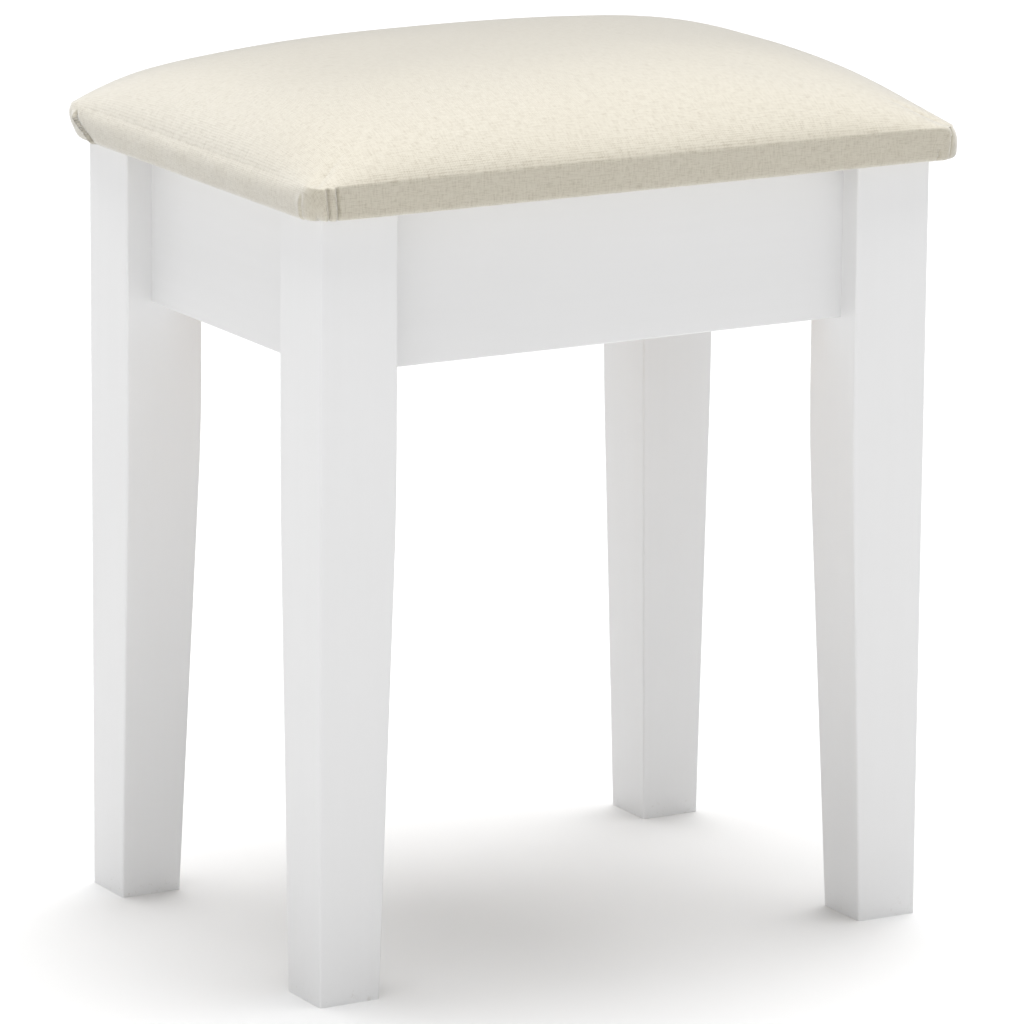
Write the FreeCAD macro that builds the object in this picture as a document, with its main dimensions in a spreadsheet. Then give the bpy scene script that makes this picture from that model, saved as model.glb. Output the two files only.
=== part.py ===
"""Dressing stool: a painted wooden frame with four tapered legs, and an upholstered seat.

X runs along the seat's long side, Y from front to back and Z up. The origin is on the floor,
under the middle of the seat. Every length is in millimetres.
"""
import FreeCAD, Part
import math
import os

import Sketcher

DRIVING_SIZES = [
    # name, value, what it is
    ("frame_width", "347", "over the legs, along X"),
    ("frame_depth", "250", "over the legs, along Y"),
    ("frame_height", "395", "floor to the top of the legs and aprons"),
    ("leg_width", "42.5", "side of a leg's square section above the taper"),
    ("foot_width", "33.5", "side of a leg's square section at the floor"),
    ("knee_top", "280", "height where the inner faces leave the straight part"),
    ("knee_radius", "1700", "soft bend between the straight part and the taper"),
    ("leg_edge", "1.2", "rounding along a leg's long edges"),
    ("leg_flat", "8", "inner corner cut back where the hanger bolt enters"),
    ("apron_height", "80", "height of each apron"),
    ("apron_thickness", "18", "thickness of each apron"),
    ("apron_inset", "14", "apron's outer face behind the legs' outer faces"),
    ("apron_edge", "1", "rounding along an apron's lower edges"),
    ("dowel_radius", "4", "dowels between legs and aprons"),
    ("dowel_length", "30", "whole length of a dowel"),
    ("dowel_in_leg", "12", "part of a dowel's length that is in the leg"),
    ("dowel_from_edge", "20", "dowel axis to the apron's upper or lower edge"),
    ("block_height", "55", "corner block, flush with the top of the frame"),
    ("block_near", "82", "sum of x and y on the block's face towards the leg"),
    ("block_far", "116", "sum of x and y on the block's face towards the room"),
    ("bolt_radius", "3", "hanger bolt"),
    ("bolt_drop", "40", "bolt axis below the top of the frame"),
    ("bolt_in_leg", "22", "length of bolt screwed into the leg"),
    ("bolt_past_nut", "4", "length of bolt beyond the nut"),
    ("bolt_clearance", "0.5", "between the bolt and its hole in the block"),
    ("washer_radius", "9", "outer radius of a hanger bolt's washer"),
    ("washer_thickness", "1.6", "thickness of that washer"),
    ("nut_flats", "10", "width across the nut's flats"),
    ("nut_thickness", "5", "height of the nut along its bolt"),
    ("screw_radius", "2", "shank of every wood screw"),
    ("screw_head_radius", "4", "pan head"),
    ("screw_head_height", "2.4", "height of the pan head above the wood"),
    ("screw_head_bevel", "0.9", "bevel round the head's face"),
    ("screw_point", "4", "length of the screw's point"),
    ("recess_width", "0.9", "arms of the driver recess"),
    ("recess_length", "4.4", "from end to end of the cross"),
    ("recess_depth", "1.3", "depth of the cross in the head"),
    ("sunk_hole_radius", "4.6", "wide part of a hole that takes a screw's head"),
    ("side_screw_length", "22", "under the head, from a corner block into an apron"),
    ("side_screw_along", "70", "its distance from the frame's outer corner"),
    ("side_screw_drop", "28", "its axis below the top of the frame"),
    ("side_screw_wood", "8", "block left under the head"),
    ("seat_screw_length", "40", "under the head, from a block up into the board"),
    ("seat_screw_offset", "14", "its distance from the middle of the block"),
    ("seat_screw_wood", "30", "block left above the head"),
    ("fit_gap", "0.1", "round a screw, dowel or bolt in its hole"),
    ("seat_width", "366", "over the cover, along X"),
    ("seat_depth", "269", "over the cover, along Y"),
    ("seat_corner", "10", "the seat's corner radius seen from above"),
    ("board_thickness", "15", "plywood seat board"),
    ("board_corner", "22", "the board's corner radius seen from above"),
    ("board_gap", "0.3", "between the board's edge and the cover"),
    ("cover_thickness", "1", "woven cover"),
    ("foam_gap", "0.3", "between the foam and the cover"),
    ("crown_rise", "38", "top of the cover above the straight band round its edge"),
    ("hem_width", "47", "cover turned under the board"),
    ("staple_from_hem", "3", "staple's middle to the hem's inner edge"),
    ("staple_spacing", "24", "from one staple to the next along the hem"),
    ("staple_crown", "10", "length of a staple across its two legs"),
    ("staple_leg", "8", "depth of a staple's legs in the board"),
    ("staple_wire", "1.2", "width of the staple's flat wire"),
    ("staple_thick", "0.6", "thickness of the staple's flat wire"),
]

# The frame's corners in order round the stool: name, turn about Z in degrees, and the
# direction of the corner along X and along Y.
CORNERS = [
    ("front_left", 0, -1, -1),
    ("front_right", 90, 1, -1),
    ("back_right", 180, 1, 1),
    ("back_left", 270, -1, 1),
]

# The aprons: name, turn about Z in degrees, outward direction, and the frame's size across
# and along the apron.
APRONS = [
    ("front", 0, (0, -1), "frame_depth", "frame_width"),
    ("right", 90, (1, 0), "frame_width", "frame_depth"),
    ("back", 180, (0, 1), "frame_depth", "frame_width"),
    ("left", 270, (-1, 0), "frame_width", "frame_depth"),
]

# The crown's height falls from its middle to its edge as (1 - |x|^4.2) ^ 0.55 along the seat
# and (1 - |y|^2.7) ^ 0.55 across it, where x and y are parts of the half widths.
CROWN_POWER_X = 4.2
CROWN_POWER_Y = 2.7
CROWN_FLATNESS = 0.55
# Heights of the crown's outlines, as parts of its rise. The last one is kept a little short
# of the very top so that it still has an area.
CROWN_LEVELS = [0.0, 0.25, 0.5, 0.7, 0.85, 0.94, 1.0]
CROWN_TOP_SHRINK = 0.975
# How far an outline's corner radius has grown towards a full half round at the top.
CROWN_CORNER_GROWTH = 0.8

Z_AXIS = FreeCAD.Vector(0, 0, 1)
NO_TURN = FreeCAD.Rotation()
HALF_ROOT_TWO = math.sqrt(0.5)


class Size:
    """A length together with the spreadsheet expression that gives it."""

    def __init__(self, text, value):
        self.text = text
        self.value = value

    def join(self, sign, other, value):
        return Size("(%s %s %s)" % (self.text, sign, as_size(other).text), value)

    def __add__(self, other):
        return self.join("+", other, self.value + as_size(other).value)

    def __sub__(self, other):
        return self.join("-", other, self.value - as_size(other).value)

    def __mul__(self, other):
        return self.join("*", other, self.value * as_size(other).value)

    def __truediv__(self, other):
        return self.join("/", other, self.value / as_size(other).value)

    def __neg__(self):
        return self * -1


def as_size(number):
    """Let a plain number stand where a Size is wanted."""
    if isinstance(number, Size):
        return number
    return Size("(%.6f)" % number, float(number))


def make_sheet(doc):
    """Write the driving sizes into a spreadsheet, each cell with its name."""
    sheet = doc.addObject("Spreadsheet::Sheet", "sizes")
    for row, (name, value, note) in enumerate(DRIVING_SIZES, start=1):
        sheet.set("A%d" % row, name)
        sheet.set("B%d" % row, value)
        sheet.setAlias("B%d" % row, name)
        sheet.set("C%d" % row, note)
    doc.recompute()
    return {name: Size("sizes." + name, float(value)) for name, value, _ in DRIVING_SIZES}


def bind(thing, prop, size):
    """Tie a property of an object to the spreadsheet."""
    thing.setExpression(prop, as_size(size).text)


def place(thing, base, turn=NO_TURN):
    """Put a sub-part at a point that follows the spreadsheet."""
    thing.Placement = FreeCAD.Placement(FreeCAD.Vector(0, 0, 0), turn)
    for axis, value in zip("xyz", base):
        bind(thing, ".Placement.Base." + axis, value)


def turn_about_z(degrees):
    return FreeCAD.Rotation(Z_AXIS, degrees)


def add_body(doc, label):
    body = doc.addObject("PartDesign::Body", label)
    body.Label = label
    return body


def attach(feature, body, role, offset, turn=NO_TURN):
    """Attach a sketch or primitive to one of its body's own planes, with an offset."""
    plane = [item for item in body.Origin.OriginFeatures if item.Role == role][0]
    feature.AttachmentSupport = [(plane, "")]
    feature.MapMode = "FlatFace"
    feature.AttachmentOffset = FreeCAD.Placement(FreeCAD.Vector(0, 0, 0), turn)
    for axis, value in zip("xyz", offset):
        bind(feature, ".AttachmentOffset.Base." + axis, value)


def add_sketch(body, name, role, height=0):
    sketch = body.newObject("Sketcher::SketchObject", name)
    attach(sketch, body, role, (0, 0, height))
    return sketch


def constrain(sketch, kind, *where, size=None):
    """Add one constraint, tied to the spreadsheet if it has a size."""
    if size is None:
        return sketch.addConstraint(Sketcher.Constraint(kind, *where))
    index = sketch.addConstraint(Sketcher.Constraint(kind, *where, as_size(size).value))
    bind(sketch, "Constraints[%d]" % index, size)
    return index


def fix_point(sketch, edge, x, y):
    """Hold the start of an edge at a point measured from the sketch's origin."""
    for kind, axis, value in (("DistanceX", -2, as_size(x)), ("DistanceY", -1, as_size(y))):
        if value.value == 0:
            constrain(sketch, "PointOnObject", edge, 1, axis)
        else:
            constrain(sketch, kind, -1, 1, edge, 1, size=value)


def polygon(sketch, points):
    """Draw a closed outline of straight edges through the given points."""
    corners = [FreeCAD.Vector(as_size(x).value, as_size(y).value, 0) for x, y in points]
    count = len(corners)
    for index in range(count):
        line = Part.LineSegment(corners[index], corners[(index + 1) % count])
        sketch.addGeometry(line, False)
    for index in range(count):
        constrain(sketch, "Coincident", index, 2, (index + 1) % count, 1)
    for index, (x, y) in enumerate(points):
        fix_point(sketch, index, x, y)


def rectangle(sketch, half_x, half_y):
    polygon(sketch, [(-half_x, -half_y), (half_x, -half_y), (half_x, half_y), (-half_x, half_y)])


def rounded_rectangle(sketch, half_x, half_y, radius):
    """Draw a rectangle about the origin whose corners are tangent arcs."""
    across = half_x.value - radius.value
    along = half_y.value - radius.value
    centres = [(across, -along, -90), (across, along, 0), (-across, along, 90), (-across, -along, 180)]
    arcs = []
    for x, y, start in centres:
        circle = Part.Circle(FreeCAD.Vector(x, y, 0), Z_AXIS, radius.value)
        arc = Part.ArcOfCircle(circle, math.radians(start), math.radians(start + 90))
        arcs.append(sketch.addGeometry(arc, False))
    lines = []
    for index in range(4):
        first = sketch.getPoint(arcs[index], 2)
        second = sketch.getPoint(arcs[(index + 1) % 4], 1)
        lines.append(sketch.addGeometry(Part.LineSegment(first, second), False))
    for index in range(4):
        constrain(sketch, "Tangent", arcs[index], 2, lines[index], 1)
        constrain(sketch, "Tangent", lines[index], 2, arcs[(index + 1) % 4], 1)
    for index in range(1, 4):
        constrain(sketch, "Equal", arcs[0], arcs[index])
    constrain(sketch, "Radius", arcs[0], size=radius)
    constrain(sketch, "Vertical", lines[0])
    constrain(sketch, "Horizontal", lines[1])
    constrain(sketch, "DistanceX", -1, 1, lines[0], 1, size=half_x)
    constrain(sketch, "DistanceY", -1, 1, lines[1], 1, size=half_y)
    constrain(sketch, "DistanceX", lines[2], 1, -1, 1, size=half_x)
    constrain(sketch, "DistanceY", lines[3], 1, -1, 1, size=half_y)


def pad(body, sketch, length, backwards=False):
    feature = body.newObject("PartDesign::Pad", sketch.Name + "_pad")
    feature.Profile = sketch
    feature.Reversed = backwards
    bind(feature, "Length", length)
    body.Document.recompute()
    return feature


def pocket(body, sketch, length, backwards=False):
    """Cut a sketch's outline out of the body, and make sure that it did cut."""
    before = body.Shape.Volume
    feature = body.newObject("PartDesign::Pocket", sketch.Name + "_pocket")
    feature.Profile = sketch
    feature.Reversed = backwards
    bind(feature, "Length", length)
    body.Document.recompute()
    check_cut(body, before, sketch.Name)
    return feature


def check_cut(body, before, name):
    if body.Shape.Volume > before - 1e-3:
        raise RuntimeError("%s: %s cuts nothing" % (body.Label, name))


def drill(body, name, start, direction, radius, depth):
    """Drill a round hole from a point, along a direction, inside the body's own frame."""
    before = body.Shape.Volume
    hole = body.newObject("PartDesign::SubtractiveCylinder", name)
    turn = FreeCAD.Rotation(Z_AXIS, FreeCAD.Vector(*direction))
    attach(hole, body, "XY_Plane", start, turn)
    bind(hole, "Radius", radius)
    bind(hole, "Height", depth)
    body.Document.recompute()
    check_cut(body, before, name)


def round_edges(body, radius, wanted):
    """Round the edges of the body for which wanted(box of the edge) is true."""
    names = []
    base = body.Tip
    for index, edge in enumerate(base.Shape.Edges, start=1):
        if wanted(edge.BoundBox):
            names.append("Edge%d" % index)
    feature = body.newObject("PartDesign::Fillet", body.Name + "_fillet")
    feature.Base = (base, names)
    bind(feature, "Radius", radius)
    body.Document.recompute()


def turned(body, outline):
    """Turn an outline of (radius, height) points about the body's Z axis."""
    sketch = add_sketch(body, body.Name + "_outline", "XZ_Plane")
    polygon(sketch, outline)
    feature = body.newObject("PartDesign::Revolution", body.Name + "_turned")
    feature.Profile = sketch
    feature.ReferenceAxis = (sketch, ["V_Axis"])
    feature.Angle = 360
    body.Document.recompute()


def corner_point(s, along_x, along_y, x, y):
    """A point given by its distances in from one outer corner of the frame."""
    return (s["frame_width"] / 2 - x) * along_x, (s["frame_depth"] / 2 - y) * along_y


def at_every_corner(doc, s, master, label):
    """Put four linked copies of a corner's piece or pieces in one group."""
    copies = []
    for corner, turn, along_x, along_y in CORNERS:
        x, y = corner_point(s, along_x, along_y, 0, 0)
        name = "%s_%s" % (label, corner)
        copies.append(linked(doc, name, master, (x, y, 0), turn_about_z(turn)))
    return group(doc, label, copies)


def group(doc, label, pieces):
    """Several separate solids that share one node."""
    compound = doc.addObject("Part::Compound", label)
    compound.Label = label
    compound.Links = pieces
    doc.recompute()
    return compound


def linked(doc, name, master, base, turn):
    """A copy of a piece, moved from where the piece itself is."""
    copy = doc.addObject("App::Link", name)
    copy.LinkedObject = master
    copy.LinkTransform = True
    place(copy, base, turn)
    return copy


# ---------------------------------------------------------------- frame


def knee_points(s):
    """Where the taper meets the foot, the knee's arc begins and the arc ends."""
    radius = s["knee_radius"].value
    centre = FreeCAD.Vector(s["leg_width"].value - radius, s["knee_top"].value, 0)
    foot = FreeCAD.Vector(s["foot_width"].value, 0, 0)
    reach = foot - centre
    swing = math.atan2(reach.y, reach.x) + math.acos(radius / reach.Length)
    start = centre + FreeCAD.Vector(math.cos(swing), math.sin(swing), 0) * radius
    end = centre + FreeCAD.Vector(radius, 0, 0)
    return centre, swing, foot, start, end


def tapered_outline(sketch, s, side, top):
    """Outline of a leg, or of the wood taken off it, with the tapered edge on one side.

    side is the x of the outline's straight side and top its upper end. The taper runs from
    the foot to a soft knee, which meets the straight part at knee_top.
    """
    centre, swing, foot, start, end = knee_points(s)
    circle = Part.Circle(centre, Z_AXIS, s["knee_radius"].value)
    far_low = FreeCAD.Vector(side.value, 0, 0)
    far_high = FreeCAD.Vector(side.value, top.value, 0)
    near_high = FreeCAD.Vector(s["leg_width"].value, top.value, 0)
    sketch.addGeometry(Part.LineSegment(far_low, foot), False)
    sketch.addGeometry(Part.LineSegment(foot, start), False)
    sketch.addGeometry(Part.ArcOfCircle(circle, swing, 0), False)
    sketch.addGeometry(Part.LineSegment(end, near_high), False)
    sketch.addGeometry(Part.LineSegment(near_high, far_high), False)
    sketch.addGeometry(Part.LineSegment(far_high, far_low), False)
    constrain(sketch, "Coincident", 0, 2, 1, 1)
    constrain(sketch, "Tangent", 1, 2, 2, 1)
    constrain(sketch, "Tangent", 2, 2, 3, 1)
    constrain(sketch, "Coincident", 3, 2, 4, 1)
    constrain(sketch, "Coincident", 4, 2, 5, 1)
    constrain(sketch, "Coincident", 5, 2, 0, 1)
    constrain(sketch, "Vertical", 3)
    constrain(sketch, "Radius", 2, size=s["knee_radius"])
    fix_point(sketch, 0, side, 0)
    fix_point(sketch, 1, s["foot_width"], 0)
    fix_point(sketch, 3, s["leg_width"], s["knee_top"])
    constrain(sketch, "DistanceY", -1, 1, 4, 1, size=top)
    fix_point(sketch, 5, side, top)


def make_leg(doc, s, corner, turn, along_x, along_y):
    """A square leg with its outer corner at its own origin and its wood towards +X and +Y."""
    leg = add_body(doc, "leg_" + corner)
    front = add_sketch(leg, leg.Name + "_front", "XZ_Plane")
    tapered_outline(front, s, Size("(0)", 0.0), s["frame_height"])
    pad(leg, front, s["leg_width"], backwards=True)
    side = add_sketch(leg, leg.Name + "_side", "YZ_Plane")
    tapered_outline(side, s, s["leg_width"] * 2, s["knee_top"] + s["leg_width"])
    pocket(leg, side, s["leg_width"] * 2, backwards=True)
    round_edges(leg, s["leg_edge"], lambda box: box.ZLength > 1)
    cut_leg_flat(leg, s)
    drill_leg(leg, s)
    x, y = corner_point(s, along_x, along_y, 0, 0)
    place(leg, (x, y, 0), turn_about_z(turn))
    return leg


def cut_leg_flat(leg, s):
    """Flat across the inner corner, beside the corner block, for the hanger bolt."""
    edge = s["leg_width"]
    flat = add_sketch(leg, leg.Name + "_flat", "XY_Plane", s["frame_height"] - s["block_height"])
    near = edge - s["leg_flat"]
    far = edge + 1
    polygon(flat, [(near - 1, far), (far, near - 1), (far, far)])
    pocket(leg, flat, s["block_height"], backwards=True)


def drill_leg(leg, s):
    """Holes for two dowels from each neighbouring apron, and for the hanger bolt."""
    middle = s["apron_inset"] + s["apron_thickness"] / 2
    mouth = s["leg_width"] + 1
    depth = s["dowel_in_leg"] + 1 + s["fit_gap"]
    radius = s["dowel_radius"] + s["fit_gap"]
    for number, height in enumerate(dowel_heights(s), start=1):
        drill(leg, "%s_dowel_x%d" % (leg.Name, number), (mouth, middle, height), (-1, 0, 0), radius, depth)
        drill(leg, "%s_dowel_y%d" % (leg.Name, number), (middle, mouth, height), (0, -1, 0), radius, depth)
    start = bolt_start(s) * HALF_ROOT_TWO
    drill(
        leg,
        leg.Name + "_bolt",
        (start, start, s["frame_height"] - s["bolt_drop"]),
        (1, 1, 0),
        s["bolt_radius"] + s["fit_gap"],
        s["bolt_in_leg"] + s["leg_width"] / 2,
    )


def dowel_heights(s):
    """Heights of the upper and the lower dowel."""
    upper = s["frame_height"] - s["dowel_from_edge"]
    lower = s["frame_height"] - s["apron_height"] + s["dowel_from_edge"]
    return upper, lower


def make_apron(doc, s, side, turn, outward, across, along):
    """An apron standing on its own origin, with its outer face at y = 0 and X along it."""
    apron = add_body(doc, "apron_" + side)
    length = s[along] - s["leg_width"] * 2
    plan = add_sketch(apron, apron.Name + "_plan", "XY_Plane")
    depth = s["apron_thickness"]
    polygon(plan, [(-length / 2, 0), (length / 2, 0), (length / 2, depth), (-length / 2, depth)])
    pad(apron, plan, s["apron_height"])
    long_edge = length.value * 0.9
    round_edges(apron, s["apron_edge"], lambda box: box.ZMax < 1 and box.XLength > long_edge)
    drill_apron(apron, s, length)
    out_x, out_y = outward
    reach = s[across] / 2 - s["apron_inset"]
    base = (reach * out_x, reach * out_y, s["frame_height"] - s["apron_height"])
    place(apron, base, turn_about_z(turn))
    return apron


def drill_apron(apron, s, length):
    """Dowel holes in both ends, and pilot holes for the corner blocks' screws."""
    ground = s["frame_height"] - s["apron_height"]
    depth = s["dowel_length"] - s["dowel_in_leg"] + 1 + s["fit_gap"]
    screw_x = length / 2 + s["leg_width"] - s["side_screw_along"]
    screw_z = s["apron_height"] - s["side_screw_drop"]
    screw_depth = s["side_screw_length"] - s["side_screw_wood"] + s["fit_gap"]
    for end, name in ((-1, "left"), (1, "right")):
        for number, height in enumerate(dowel_heights(s), start=1):
            start = ((length / 2 + 1) * end, s["apron_thickness"] / 2, height - ground)
            hole = "%s_dowel_%s%d" % (apron.Name, name, number)
            drill(apron, hole, start, (-end, 0, 0), s["dowel_radius"] + s["fit_gap"], depth)
        drill(
            apron,
            "%s_screw_%s" % (apron.Name, name),
            (screw_x * end, s["apron_thickness"], screw_z),
            (0, -1, 0),
            s["screw_radius"] + s["fit_gap"],
            screw_depth,
        )


def make_block(doc, s, corner, turn, along_x, along_y):
    """A corner block across the inside of one corner of the frame."""
    block = add_body(doc, "corner_block_" + corner)
    wall = s["apron_inset"] + s["apron_thickness"]
    low = s["frame_height"] - s["block_height"]
    plan = add_sketch(block, block.Name + "_plan", "XY_Plane", low)
    near = s["block_near"] - wall
    far = s["block_far"] - wall
    polygon(plan, [(near, wall), (far, wall), (wall, far), (wall, near)])
    pad(block, plan, s["block_height"])
    drill_block(block, s, wall, low)
    x, y = corner_point(s, along_x, along_y, 0, 0)
    place(block, (x, y, 0), turn_about_z(turn))
    return block


def drill_block(block, s, wall, low):
    """Holes for the hanger bolt, the two side screws and the seat screw."""
    near = s["block_near"] / 2 - 1
    thickness = (s["block_far"] - s["block_near"]) * HALF_ROOT_TWO
    bolt_z = s["frame_height"] - s["bolt_drop"]
    bolt_hole = s["bolt_radius"] + s["bolt_clearance"]
    drill(block, block.Name + "_bolt", (near, near, bolt_z), (1, 1, 0), bolt_hole, thickness + 4)
    shank = s["screw_radius"] + s["fit_gap"]
    along = s["side_screw_along"]
    side_z = s["frame_height"] - s["side_screw_drop"]
    head = wall + s["side_screw_wood"]
    mouth = s["block_far"] - wall
    for name, shank_start, head_start, direction in (
        ("front", (along, wall - 1, side_z), (along, head, side_z), (0, 1, 0)),
        ("side", (wall - 1, along, side_z), (head, along, side_z), (1, 0, 0)),
    ):
        drill(block, "%s_%s_shank" % (block.Name, name), shank_start, direction, shank, mouth)
        drill(block, "%s_%s_head" % (block.Name, name), head_start, direction, s["sunk_hole_radius"], mouth)
    x, y = seat_screw_place(s)
    drill(block, block.Name + "_seat_shank", (x, y, low - 1), (0, 0, 1), shank, s["block_height"] + 2)
    sunk = s["block_height"] - s["seat_screw_wood"] + 1
    drill(block, block.Name + "_seat_head", (x, y, low - 1), (0, 0, 1), s["sunk_hole_radius"], sunk)


def seat_screw_place(s):
    """The seat screw stands in the middle of the block's thickness, to one side."""
    middle = (s["block_near"] + s["block_far"]) / 4
    aside = s["seat_screw_offset"] * HALF_ROOT_TWO
    return middle + aside, middle - aside


# ---------------------------------------------------------------- fasteners


def bolt_start(s):
    """Distance of the bolt's buried end from the frame's outer corner, along the diagonal."""
    return (s["leg_width"] * 2 - s["leg_flat"]) * HALF_ROOT_TWO - s["bolt_in_leg"]


def block_face(s):
    """Distance of the block's inner face from the frame's outer corner, along the diagonal."""
    return s["block_far"] * HALF_ROOT_TWO


def make_dowels(doc, s):
    """Sixteen dowels, two in every joint between a leg and an apron."""
    master = doc.addObject("Part::Cylinder", "dowel_blank")
    bind(master, "Radius", s["dowel_radius"])
    bind(master, "Height", s["dowel_length"])
    middle = s["apron_inset"] + s["apron_thickness"] / 2
    start = s["leg_width"] - s["dowel_in_leg"]
    along_x = FreeCAD.Rotation(Z_AXIS, FreeCAD.Vector(1, 0, 0))
    along_y = FreeCAD.Rotation(Z_AXIS, FreeCAD.Vector(0, 1, 0))
    four = []
    for number, height in enumerate(dowel_heights(s), start=1):
        four.append(linked(doc, "dowel_x%d" % number, master, (start, middle, height), along_x))
        four.append(linked(doc, "dowel_y%d" % number, master, (middle, start, height), along_y))
    return at_every_corner(doc, s, group(doc, "dowels_of_a_corner", four), "dowels")


def make_hanger_bolts(doc, s):
    """Headless bolts, pointed at the end in the leg."""
    master = add_body(doc, "hanger_bolt")
    radius = s["bolt_radius"]
    length = block_face(s) + s["washer_thickness"] + s["nut_thickness"] + s["bolt_past_nut"]
    length = length - bolt_start(s)
    turned(master, [(0, 0), (radius, radius * 2), (radius, length - 1), (radius - 1, length), (0, length)])
    return along_the_diagonal(doc, s, master, bolt_start(s), "hanger_bolts")


def make_washers(doc, s):
    master = add_body(doc, "washer")
    hole = s["bolt_radius"] + s["fit_gap"] * 3
    rim = s["washer_radius"]
    thick = s["washer_thickness"]
    turned(master, [(hole, 0), (rim, 0), (rim, thick), (hole, thick)])
    return along_the_diagonal(doc, s, master, block_face(s), "bolt_washers")


def make_nuts(doc, s):
    """Hexagon nuts."""
    master = add_body(doc, "nut")
    plan = add_sketch(master, "nut_plan", "XY_Plane")
    point = s["nut_flats"] / math.sqrt(3)
    angles = [math.radians(60 * index) for index in range(6)]
    polygon(plan, [(point * round(math.cos(a), 6), point * round(math.sin(a), 6)) for a in angles])
    pad(master, plan, s["nut_thickness"])
    hole = s["bolt_radius"] + s["fit_gap"]
    drill(master, "nut_hole", (0, 0, -1), (0, 0, 1), hole, s["nut_thickness"] + 2)
    return along_the_diagonal(doc, s, master, block_face(s) + s["washer_thickness"], "bolt_nuts")


def along_the_diagonal(doc, s, master, distance, label):
    """Stand one piece on the bolt's axis in every corner."""
    reach = distance * HALF_ROOT_TWO
    turn = FreeCAD.Rotation(Z_AXIS, FreeCAD.Vector(1, 1, 0))
    height = s["frame_height"] - s["bolt_drop"]
    piece = linked(doc, label + "_piece", master, (reach, reach, height), turn)
    return at_every_corner(doc, s, piece, label)


def make_screw(doc, s, name, length):
    """A pan-head wood screw with a cross recess, its head standing on z = 0."""
    screw = add_body(doc, name)
    head = s["screw_head_radius"]
    shank = s["screw_radius"]
    top = s["screw_head_height"]
    bevel = s["screw_head_bevel"]
    tip = s["screw_point"] - length
    none = Size("(0)", 0.0)
    turned(screw, [
        (none, top), (none, -length), (shank, tip), (shank, none),
        (head, none), (head, top - bevel), (head - bevel, top),
    ])
    recess = add_sketch(screw, name + "_recess", "XY_Plane", top)
    half = s["recess_width"] / 2
    arm = s["recess_length"] / 2
    polygon(recess, [
        (half, half), (half, arm), (-half, arm), (-half, half), (-arm, half), (-arm, -half),
        (-half, -half), (-half, -arm), (half, -arm), (half, -half), (arm, -half), (arm, half),
    ])
    pocket(screw, recess, s["recess_depth"])
    return screw


def make_side_screws(doc, s):
    """Eight screws that hold the corner blocks to the aprons."""
    screw = make_screw(doc, s, "side_screw", s["side_screw_length"])
    head = s["apron_inset"] + s["apron_thickness"] + s["side_screw_wood"]
    along = s["side_screw_along"]
    height = s["frame_height"] - s["side_screw_drop"]
    to_front = FreeCAD.Rotation(Z_AXIS, FreeCAD.Vector(0, 1, 0))
    to_side = FreeCAD.Rotation(Z_AXIS, FreeCAD.Vector(1, 0, 0))
    pair = [
        linked(doc, "side_screw_a", screw, (along, head, height), to_front),
        linked(doc, "side_screw_b", screw, (head, along, height), to_side),
    ]
    return at_every_corner(doc, s, group(doc, "side_screw_pair", pair), "block_screws")


def make_seat_screws(doc, s):
    """Four screws that come up through the corner blocks into the seat board."""
    screw = make_screw(doc, s, "seat_screw", s["seat_screw_length"])
    x, y = seat_screw_place(s)
    upside_down = FreeCAD.Rotation(FreeCAD.Vector(1, 0, 0), 180)
    piece = linked(doc, "seat_screw_up", screw, (x, y, seat_screw_head(s)), upside_down)
    return at_every_corner(doc, s, piece, "seat_screws")


def seat_screw_head(s):
    """Height of the seat screws' heads."""
    return s["frame_height"] - s["seat_screw_wood"]


def make_staples(doc, s):
    """Staples that hold the hem under the board, between the corner blocks."""
    master = staple(doc, s)
    reach_x = s["seat_width"] / 2 - s["hem_width"] + s["staple_from_hem"]
    reach_y = s["seat_depth"] / 2 - s["hem_width"] + s["staple_from_hem"]
    pieces = []
    for side, turn, count, reach in (
        ("front", 0, 7, (0, -1)),
        ("right", 90, 3, (1, 0)),
        ("back", 180, 7, (0, 1)),
        ("left", 270, 3, (-1, 0)),
    ):
        for index in range(count):
            step = s["staple_spacing"] * (index - (count - 1) / 2)
            x = reach_x * reach[0] + step * abs(reach[1])
            y = reach_y * reach[1] + step * abs(reach[0])
            name = "staple_%s_%d" % (side, index + 1)
            pieces.append(linked(doc, name, master, (x, y, s["frame_height"]), turn_about_z(turn)))
    return group(doc, "cover_staples", pieces)


def staple(doc, s):
    """One staple with its crown below z = 0 and its legs pointing up."""
    body = add_body(doc, "staple")
    sketch = add_sketch(body, "staple_outline", "XZ_Plane", -s["staple_wire"] / 2)
    half = s["staple_crown"] / 2
    inner = half - s["staple_thick"]
    low = -s["staple_thick"]
    high = s["staple_leg"]
    zero = Size("(0)", 0.0)
    polygon(sketch, [
        (-half, low), (half, low), (half, high), (inner, high),
        (inner, zero), (-inner, zero), (-inner, high), (-half, high),
    ])
    pad(body, sketch, s["staple_wire"])
    return body


# ---------------------------------------------------------------- seat


def make_board(doc, s, cutters):
    """Plywood board with rounded corners, pierced by the seat screws and staples."""
    body = add_body(doc, "board_blank")
    gap = s["cover_thickness"] + s["board_gap"]
    low = s["frame_height"] + s["cover_thickness"]
    plan = add_sketch(body, "board_plan", "XY_Plane", low)
    half_x = s["seat_width"] / 2 - gap
    half_y = s["seat_depth"] / 2 - gap
    rounded_rectangle(plan, half_x, half_y, s["board_corner"])
    pad(body, plan, s["board_thickness"])
    for corner, _, along_x, along_y in CORNERS:
        x, y = seat_screw_in_board(s, corner, along_x, along_y)
        depth = s["seat_screw_length"] - s["seat_screw_wood"] - s["cover_thickness"] + s["fit_gap"]
        hole = s["screw_radius"] + s["fit_gap"]
        drill(body, "board_screw_" + corner, (x, y, low), (0, 0, 1), hole, depth)
    return cut(doc, "seat_board", body, cutters)


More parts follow.
